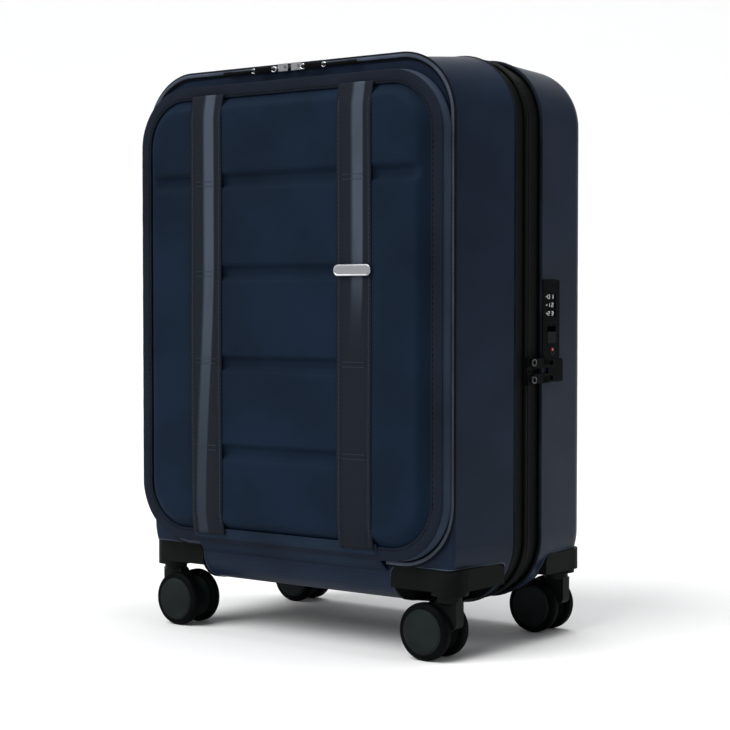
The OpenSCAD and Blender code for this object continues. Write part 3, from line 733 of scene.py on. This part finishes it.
def strap_stitches(side, line, name):
    """Rows of thread along both hems, and a double row across at each tack."""
    zs = [z for z, _ in line]
    ys = [y for _, y in line]
    verts, faces = [], []
    pitch, long = 4.2 * MM, 2.8 * MM
    for u in (-0.86, 0.86):                   # shares of the half width
        z = zs[0] + 12 * MM
        while z < zs[-1] - 14 * MM:
            ya, yb = (float(np.interp(t, zs, ys)) + 0.15 * MM for t in (z, z + long))
            x = side * STRAP_X + u * STRAP_HALF + strap_wander(side, z)
            capsule(verts, faces, (x, ya, z), (x, yb, z + long), 0.36 * MM)
            z += pitch
    for tack in TACKS:
        for dz in (-2.2 * MM, 2.2 * MM):
            y = float(np.interp(tack + dz, zs, ys)) - 0.05 * MM
            for k in range(7):
                x = side * STRAP_X + (k - 3) * 3.6 * MM
                capsule(verts, faces, (x - 1.2 * MM, y, tack + dz), (x + 1.2 * MM, y, tack + dz),
                        0.34 * MM)
    piece = mesh_object(name + "_stitches", verts, faces, MATERIALS["thread_grey"])
    fit(piece, "door", "strap")


def binding_stitches():
    """Dark thread along the binding's inner edge, except behind the hinge band."""
    build = Build()
    y, inset = BINDING_FRONT - 0.02 * MM, BINDING_W - 2.4 * MM
    pitch, long = 5.0 * MM, 3.2 * MM
    for i in range(int(door_ring.length / pitch)):
        ends = []
        for s in (i * pitch, i * pitch + long):
            (x, z), (nx, nz) = door_ring.at(s)
            ends.append((x - nx * inset, y, z - nz * inset))
        if not at_hinge(ends[0][0], ends[0][2]):
            build.bar(ends[0], ends[1], 0.45 * MM)
    fit(build.piece("door_edge_stitches", MATERIALS["thread_black"]), "door", "binding")


def make_hinge_band():
    """Band that the door folds down on, from the shell's front up over the door's bottom edge."""
    shell_y, face_y = span("front_shell")[0].y, BINDING_FRONT - 0.6 * MM
    z0, z1 = span("door_hinge_strip")[0].z, door_low.z + BINDING_W + 0.6 * MM
    # Shares of the way forwards and of the way up
    line = [(0.0, 0.0), (0.10, 0.04), (0.30, 0.16), (0.55, 0.34), (0.78, 0.54), (0.92, 0.72),
            (0.99, 0.88), (1.0, 1.0)]
    outer = [(shell_y - 0.7 * MM + (face_y - 1.0 * MM - shell_y) * u, z0 + (z1 - z0) * v)
             for u, v in line]
    lip = outer[-1]
    outer += [(lip[0] - 0.5 * MM, lip[1] + 0.7 * MM), (lip[0] - 0.1 * MM, lip[1] + 1.7 * MM)]
    inner = [(y + 0.9 * MM, z + 0.25 * MM) for y, z in reversed(outer)]
    loop = outer + inner
    columns, verts = 44, []
    for c in range(columns + 1):
        u = 2 * c / columns - 1
        end = max(0.0, abs(u) - 0.93) / 0.07
        for y, z in loop:
            verts.append((u * HINGE_HALF, y + 0.8 * MM * end * end, z))
    faces = skin(columns + 1, len(loop))
    piece = recalc(mesh_object("door_hinge_band", verts, faces, MATERIALS["band"]))
    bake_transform(piece)
    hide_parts("door_hinge_strip")


def make_door_zip():
    """Coil of the door's zip: slanting teeth on a narrow tape, open at the hinge band."""
    low, high = span("door_zip")
    y = (low.y + high.y) / 2
    half = (high.y - low.y) / 2
    ring = Ring(high.x - half, low.z + half, high.z - half, 55 * MM)
    build = Build()
    pitch, reach, slant = 1.7 * MM, 1.5 * MM, 0.7 * MM
    for i in range(int(ring.length / pitch)):
        s = i * pitch
        (x, z), (nx, nz) = ring.at(s)
        if at_hinge(x, z):
            continue
        (x2, z2), _ = ring.at(s + slant)
        build.bar((x - nx * reach, y - 0.6 * MM, z - nz * reach),
                  (x2 + nx * reach, y - 0.6 * MM, z2 + nz * reach), 0.62 * MM)
    fit(build.piece("door_zip_teeth", MATERIALS["door_teeth"]), "front_case", "zip")

    section = [(-3.4 * MM, y + 0.1 * MM), (3.4 * MM, y + 0.1 * MM), (3.4 * MM, y + 0.8 * MM),
               (-3.4 * MM, y + 0.8 * MM)]
    start = ring.length * 0.5 + HINGE_HALF
    stop = ring.length * 1.5 - HINGE_HALF
    verts, faces = sweep(ring, lambda s: section, 5 * MM, start, stop)
    tape = recalc(mesh_object("door_zip_tape", verts, faces, MATERIALS["tape"]))
    fit(tape, "front_case", "zip", "door_zip")


# Lip of a shell over its caster housings, in a pale colour that is a painted highlight
LIP_R = 0.55 * MM                             # its own radius
LIP_LIFT = 0.75 * MM                          # distance from the housing
LIP_TURN = 8.5 * MM                           # bend from upright to level
LIP_FOOT = 52 * MM                            # height of its lower ends
SHELL_R = 21 * MM                             # the shells' upright edges
# Each shell's half width and face, and where its housings end behind the face
FRONT_BASE = (184 * MM, -95.8 * MM, -17.4 * MM)
REAR_BASE = (186.5 * MM, 121 * MM, 50 * MM)


def lip_route(length):
    """(distance along the housing, height) of the lip: up, level, and down again."""
    top = HOUSING_TOP + LIP_LIFT
    rise = [(0.0, LIP_FOOT + (top - LIP_TURN - LIP_FOOT) * t / 6) for t in range(7)]
    rise += [(LIP_TURN * (1 - math.cos(a)), top - LIP_TURN * (1 - math.sin(a)))
             for a in [math.pi / 2 * k / 6 for k in range(1, 7)]]
    level = [(LIP_TURN + (length - 2 * LIP_TURN) * t / 40, top) for t in range(1, 40)]
    return rise + level + [(length - u, z) for u, z in reversed(rise)]


def shell_bead(name, node, body, half_w, face, housing_end):
    """Fine lip of a shell along the top edge of its two caster housings, coloured pale as a painted
    highlight.
    """
    tree = mesh_tree(NODES[node])
    s = 1 if face > 0 else -1
    inner_x = HOUSING_IN - LIP_LIFT
    across = half_w - SHELL_R - inner_x
    bend = math.pi / 2 * SHELL_R
    along = abs(face - housing_end) - SHELL_R + LIP_LIFT

    def around(u):
        """Point (x, y) and outward direction on the housing's plan, at distance u."""
        if u < across:
            return (inner_x + u, face), (0, s)
        if u < across + bend:
            a = math.pi / 2 - (u - across) / SHELL_R
            n = (math.cos(a), s * math.sin(a))
            return (half_w - SHELL_R + SHELL_R * n[0], face - s * SHELL_R + SHELL_R * n[1]), n
        return (half_w, face - s * (SHELL_R + u - across - bend)), (1, 0)

    for side, label in ((-1, "left"), (1, "right")):
        path = []
        for u, z in lip_route(across + bend + along):
            p, n = around(u)
            start = Vector((side * (p[0] + n[0] * 40 * MM), p[1] + n[1] * 40 * MM, z))
            hit = tree.ray_cast(start, Vector((-side * n[0], -n[1], 0)))[0]
            if hit and (hit - start).length < 60 * MM:
                path.append(hit)
        build = Build()
        build.tube(path, LIP_R, 6)
        fit(build.piece(f"{name}_{label}", MATERIALS["shell_lip_highlight"]), body, "shell")


def oval(centre, half_u, half_z, steps=20):
    """Closed oval in the XZ plane."""
    return [(centre[0] + half_u * math.cos(a), centre[1], centre[2] + half_z * math.sin(a))
            for a in circle(steps)]


def make_door_pull(side, label):
    """Pull of the door's zip: wire link, ribbed rubber tab, ring and moulded tail."""
    low, high = span(f"{label}_door_pull")
    y = (low.y + high.y) / 2
    z = (low.z + high.z) / 2
    near = min(abs(low.x), abs(high.x))

    def x(mm):
        """That many millimetres along the pull, from the end at its slider."""
        return side * (near + mm * MM)

    body = f"{label}_door_zip_pull"
    wire = Build()
    wire.tube(oval((x(3.2), y, z), 3.0 * MM, 2.2 * MM), 0.65 * MM, 6, True)
    wire.tube(oval((x(27.6), y, z), 2.6 * MM, 2.0 * MM), 0.6 * MM, 6, True)
    fit(wire.piece(f"{label}_door_pull_rings", MATERIALS["slider"]), body, "slider")

    rubber = Build()
    # Tab, tail and the tail's thicker end: from, to, ahead, behind, half height, edge
    for a, b, ahead, behind, tall, edge in ((5.4, 25.8, 1.5, 1.3, 2.7, 0.9),
                                            (29.0, 65.0, 0.7, 0.7, 1.3, 0.5),
                                            (55.0, 65.6, 1.1, 1.1, 1.7, 0.8)):
        left, right = sorted((x(a), x(b)))
        rubber.block((left, y - ahead * MM, z - tall * MM),
                     (right, y + behind * MM, z + tall * MM), edge * MM)
    for k in range(6):
        rib = x(9 + 2.4 * k)
        rubber.bar((rib, y - 1.45 * MM, z - 1.9 * MM), (rib, y - 1.45 * MM, z + 1.9 * MM),
                   0.42 * MM)
    fit(rubber.piece(f"{label}_door_pull_tab", MATERIALS["pull"]), body, "pull",
        f"{label}_door_pull")


def make_main_pull(direction, node, body):
    """Wire link and four ribs on a main zip pull, and a ridge across its end."""
    low, high = span(node)
    z = (low.z + high.z) / 2 + direction * 1.0 * MM
    face = high.x
    wire = Build()
    ring_y = low.y + 8.2 * MM
    path = [(face + 0.5 * MM, ring_y + 3.4 * MM * math.cos(a), z + 2.9 * MM * math.sin(a))
            for a in circle(20)]
    wire.tube(path, 0.62 * MM, 6, True)
    fit(wire.piece(f"{node}_link", MATERIALS["dark_metal"]), body, "slider")
    ribs = Build()
    bars = [(face + 0.1 * MM, high.y - (2.2 + 2.3 * k) * MM, 2.6 * MM) for k in range(4)]
    bars.append((face - 1.6 * MM, low.y + 0.8 * MM, 5.0 * MM))
    for x, y, half in bars:
        ribs.bar((x, y, z - half), (x, y, z + half), 0.5 * MM)
    fit(ribs.piece(f"{node}_ribs", MATERIALS["pull"]), body, "pull")


# Strokes of the ten digits on a seven-part figure: top, upper left, upper right, middle,
# lower left, lower right, bottom
DIGITS = ["1110111", "0010010", "1011101", "1011011", "0111010", "1101011", "1101111", "1010010",
          "1111111", "1111011"]
STROKES = [((-1, 1), (1, 1)), ((-1, 0), (-1, 1)), ((1, 0), (1, 1)), ((-1, 0), (1, 0)),
           ((-1, -1), (-1, 0)), ((1, -1), (1, 0)), ((-1, -1), (1, -1))]


def make_digits(number):
    """Ten white digits and the grips between them round a lock dial."""
    low, high = span(f"dial_{number}")
    cx, cy, cz = (low.x + high.x) / 2, (low.y + high.y) / 2, (low.z + high.z) / 2
    r = (high.x - low.x) / 2
    build, grips = Build(), Build()
    for k, strokes in enumerate(DIGITS):
        middle = 2 * math.pi * (k - number) / 10
        for on, (a, b) in zip(strokes, STROKES):
            if on == "1":
                ends = []
                for u, v in (a, b):
                    t = middle + u * 0.95 * MM / r
                    ends.append((cx + r * math.cos(t), cy + r * math.sin(t), cz + v * 1.75 * MM))
                build.bar(ends[0], ends[1], 0.30 * MM)
        t = middle + math.pi / 10
        grip_r = r - 0.1 * MM
        place = (cx + grip_r * math.cos(t), cy + grip_r * math.sin(t))
        grips.bar((*place, low.z + 0.5 * MM), (*place, high.z - 0.5 * MM), 0.27 * MM)
    body = f"lock_dial_{number}"
    fit(build.piece(f"dial_{number}_digits", MATERIALS["white_ink"]), body, "lock")
    fit(grips.piece(f"dial_{number}_grips", MATERIALS["dial"]), body, "lock")


def make_lock_marks():
    """Index marks beside the dials, three fine lines across the case, the two at its top and bottom
    edges being painted highlights, and the key core's dot.
    """
    low, high = span("lock_body")
    face = high.x + 0.05 * MM
    marks = Build()
    for number in (1, 2, 3):
        dial_low, dial_high = span(f"dial_{number}")
        z = (dial_low.z + dial_high.z) / 2
        y = dial_low.y - 1.6 * MM
        marks.bar((face, y - 1.0 * MM, z), (face, y + 0.5 * MM, z), 0.3 * MM)
        marks.bar((face, y + 0.5 * MM, z - 0.7 * MM), (face, y + 0.5 * MM, z + 0.7 * MM), 0.3 * MM)
    fit(marks.piece("lock_index_marks", MATERIALS["white_ink"]), "rear_case", "lock")
    lines = Build()
    left, right = low.y + 3 * MM, high.y - 3 * MM
    joint_z = high.z - 39.5 * MM
    lines.bar((face, left, joint_z), (face, right, joint_z), 0.25 * MM)
    # painted highlights: pale lines along the case's top and bottom edges
    for z in (high.z - 1.2 * MM, low.z + 1.2 * MM):
        lines.bar((face - 0.1 * MM, left, z), (face - 0.1 * MM, right, z), 0.3 * MM)
    fit(lines.piece("lock_edge_lines", MATERIALS["piping"]), "rear_case", "lock")
    key_low, key_high = span("key_core")
    y, z = (key_low.y + key_high.y) / 2, (key_low.z + key_high.z) / 2
    dot = Build()
    dot.block((key_high.x - 0.1 * MM, y - 1.2 * MM, z + 0.4 * MM),
              (key_high.x + 0.4 * MM, y + 1.2 * MM, z + 2.8 * MM), 0.24 * MM, 3)
    fit(dot.piece("key_core_dot", MATERIALS["red_dot"]), "lock_key", "lock")


def make_plate():
    """Blank metal plate: a pill with a raised rim and a sunken brushed face."""
    low, high = span("badge_plate")
    cx, cz = (low.x + high.x) / 2, (low.z + high.z) / 2
    half_w, half_h = (high.x - low.x) / 2, (high.z - low.z) / 2
    front, back = low.y, high.y
    steps = 48
    # (inset from the outline, y), from the back edge over the rim to the sunken face
    levels = [(0.0, back), (0.0, front + 0.35 * MM), (0.25 * MM, front + 0.08 * MM),
              (0.6 * MM, front), (0.95 * MM, front + 0.08 * MM), (1.2 * MM, front + 0.4 * MM),
              (1.6 * MM, front + 0.45 * MM)]
    verts = []
    for inset, y in levels:
        r = half_h - inset
        for a in circle(steps):
            shift = (half_w - half_h) * (1 if math.cos(a) >= 0 else -1)
            verts.append((cx + shift + r * math.cos(a), y, cz + r * math.sin(a)))
    faces = skin(len(levels), steps)
    piece = recalc(mesh_object("strap_plate", verts, faces, MATERIALS["plate"]))
    for p in piece.data.polygons:
        p.use_smooth = len(p.vertices) == 4
    fit(piece, "door", "plate", "badge_plate")


# ---------- CAD nodes ----------

def soften(node, width, segments=2):
    """Rounds a CAD node's sharp edges with modifiers, after joining its flat faces."""
    piece = NODES[node]
    flat = piece.modifiers.new("flat", "DECIMATE")
    flat.decimate_type = "DISSOLVE"
    flat.angle_limit = math.radians(0.6)
    bevel = piece.modifiers.new("edges", "BEVEL")
    bevel.width = width
    bevel.segments = segments
    bevel.limit_method = "ANGLE"
    bevel.angle_limit = math.radians(32)
    bevel.harden_normals = False
    normals = piece.modifiers.new("normals", "WEIGHTED_NORMAL")
    normals.keep_sharp = False


def paint(material, *nodes):
    """Gives CAD nodes that material in place of their own."""
    for node in nodes:
        mesh = NODES[node].data
        mesh.materials.clear()
        mesh.materials.append(material)


def make_materials():
    return {
        "shell": shell_material(),
        # the lip's pale colour is a painted highlight along the shell's edge
        "shell_lip_highlight": moulded_material("pale_lip_painted_highlight", (0.050, 0.066, 0.095), 0.35),
        "panel": cloth_material("panel_fabric", (0.0040, 0.0102, 0.0225), 0.9 * MM, 0.00006),
        "gusset": cloth_material("gusset_fabric", (0.0235, 0.0340, 0.054), 0.7 * MM, 0.00005),
        "band": cloth_material("hinge_band_fabric", (0.0085, 0.0160, 0.0300), 0.5 * MM, 0.00002),
        "binding": cloth_material("binding_tape", (0.0068, 0.0100, 0.0175), 0.6 * MM, 0.00008),
        # each strap's painted sheen fades between the two heights given last
        "strap_left": webbing_material("strap_webbing_left", -STRAP_X, -0.2, 0.32),
        "strap_right": webbing_material("strap_webbing_right", STRAP_X, 0.27, 0.36),
        "lining": cloth_material("lining_cloth", (0.060, 0.066, 0.080), 0.8 * MM, 0.00004,
                                 spread=0.08),
        "tape": cloth_material("zip_tape", (0.0040, 0.0055, 0.0075), 0.8 * MM, 0.00008),
        "teeth": zip_material("zip_teeth", (0.0050, 0.0062, 0.0052), 1.6 * MM),
        "door_teeth": moulded_material("door_zip_teeth", (0.085, 0.105, 0.145), 0.35),
        "piping": rubber_material("piping", (0.0062, 0.0080, 0.0120)),
        "housing": moulded_material("housing_plastic", (0.0048, 0.0058, 0.0056), 0.46,
                                    level=0.03),
        "fork": moulded_material("fork_plastic", (0.0065, 0.0078, 0.0076), 0.44),
        "hub": moulded_material("hub_plastic", (0.0095, 0.0128, 0.0130), 0.5),
        "tread": rubber_material("tread_rubber", (0.0014, 0.0018, 0.0021)),
        "lock": moulded_material("lock_plastic", (0.0014, 0.0020, 0.0024), 0.40, level=0.02),
        "dial": moulded_material("dial_plastic", (0.0030, 0.0032, 0.0036), 0.4),
        "grip": moulded_material("grip_plastic", (0.0050, 0.0054, 0.0062), 0.5),
        "button": moulded_material("button_plastic", (0.0075, 0.0080, 0.0090), 0.45),
        "dark_metal": brushed_material("dark_metal", (0.10, 0.105, 0.11), 0.25),
        "tube": brushed_material("anodised_tube", (0.62, 0.63, 0.65), 0.3, (60, 60, 1)),
        "steel": brushed_material("screw_steel", (0.55, 0.55, 0.57), 0.32),
        "plate": brushed_material("plate_metal", (0.42, 0.43, 0.45), 0.30),
        "slider": brushed_material("slider_metal", (0.50, 0.51, 0.52), 0.24),
        "pull": rubber_material("pull_rubber", (0.0030, 0.0032, 0.0036)),
        "board": moulded_material("door_board_sheet", (0.045, 0.050, 0.060), 0.6, spread=0.06),
        "thread_black": surface("thread_black", (0.003, 0.003, 0.004), 0.7, Specular_IOR_Level=0.1),
        "thread_grey": surface("thread_grey", (0.030, 0.036, 0.050), 0.6, Specular_IOR_Level=0.1),
        "white_ink": surface("white_ink", (0.75, 0.76, 0.76), 0.5),
        "red_dot": surface("red_dot", (0.62, 0.08, 0.06), 0.3),
    }


CASTERS = ["front_left", "front_right", "rear_left", "rear_right"]


def dress_cad():
    """Materials for every CAD node that stays visible, and softened edges where they show."""
    paint(MATERIALS["shell"], "rear_shell", "front_shell")
    paint(MATERIALS["piping"], "rear_piping", "front_piping")
    paint(MATERIALS["teeth"], "rear_zip", "front_zip")
    paint(MATERIALS["tape"], "hinge_cloth")
    paint(MATERIALS["lining"], "rear_lining", "front_lining")
    paint(MATERIALS["housing"], "trolley_bezel", "top_handle_bezel", "side_handle_bezel")
    paint(MATERIALS["tube"], "outer_tubes", "middle_tubes", "inner_tubes", "release_rods")
    paint(MATERIALS["grip"], "trolley_grip", "top_handle", "side_handle")
    paint(MATERIALS["button"], "grip_button", "lock_button")
    paint(MATERIALS["lock"], "lock_body", "lock_dock")
    paint(MATERIALS["dial"], "dial_1", "dial_2", "dial_3")
    paint(MATERIALS["steel"], "rear_screws", "front_screws")
    paint(MATERIALS["button"], "key_core")
    paint(MATERIALS["pull"], "upper_slider", "lower_slider", "left_door_pull", "right_door_pull")
    paint(MATERIALS["slider"], "left_door_slider", "right_door_slider")
    paint(MATERIALS["board"], "door_board")
    for caster in CASTERS:
        paint(MATERIALS["housing"], caster + "_housing")
        paint(MATERIALS["fork"], caster + "_fork")
        paint(MATERIALS["hub"], caster + "_hubs")
        paint(MATERIALS["tread"], caster + "_tyres")
        soften(caster + "_housing", 0.9 * MM)
        soften(caster + "_fork", 0.8 * MM)
    for node in ("trolley_bezel", "top_handle_bezel", "side_handle_bezel", "lock_body",
                 "lock_dock"):
        soften(node, 0.5 * MM)
    for node in ("trolley_grip", "top_handle", "side_handle"):
        soften(node, 1.6 * MM, segments=3)
    for node in ("grip_button", "lock_button", "upper_slider", "lower_slider", "left_door_slider",
                 "right_door_slider"):
        soften(node, 0.4 * MM)


make_camera()
make_studio()
MATERIALS = make_materials()
dress_cad()
panel = make_panel()
make_binding()
make_gusset()
make_hinge_band()
make_door_zip()
binding_stitches()
height = strap_surface(panel)
make_strap(-1, height, "strap_left", "left_strap")
make_strap(1, height, "strap_right", "right_strap")
make_plate()
shell_bead("front_shell_lip", "front_shell", "front_case", *FRONT_BASE)
shell_bead("rear_shell_lip", "rear_shell", "rear_case", *REAR_BASE)
make_door_pull(-1, "left")
make_door_pull(1, "right")
make_main_pull(1, "upper_slider", "upper_zip_slider")
make_main_pull(-1, "lower_slider", "lower_zip_slider")
for number in (1, 2, 3):
    make_digits(number)
make_lock_marks()
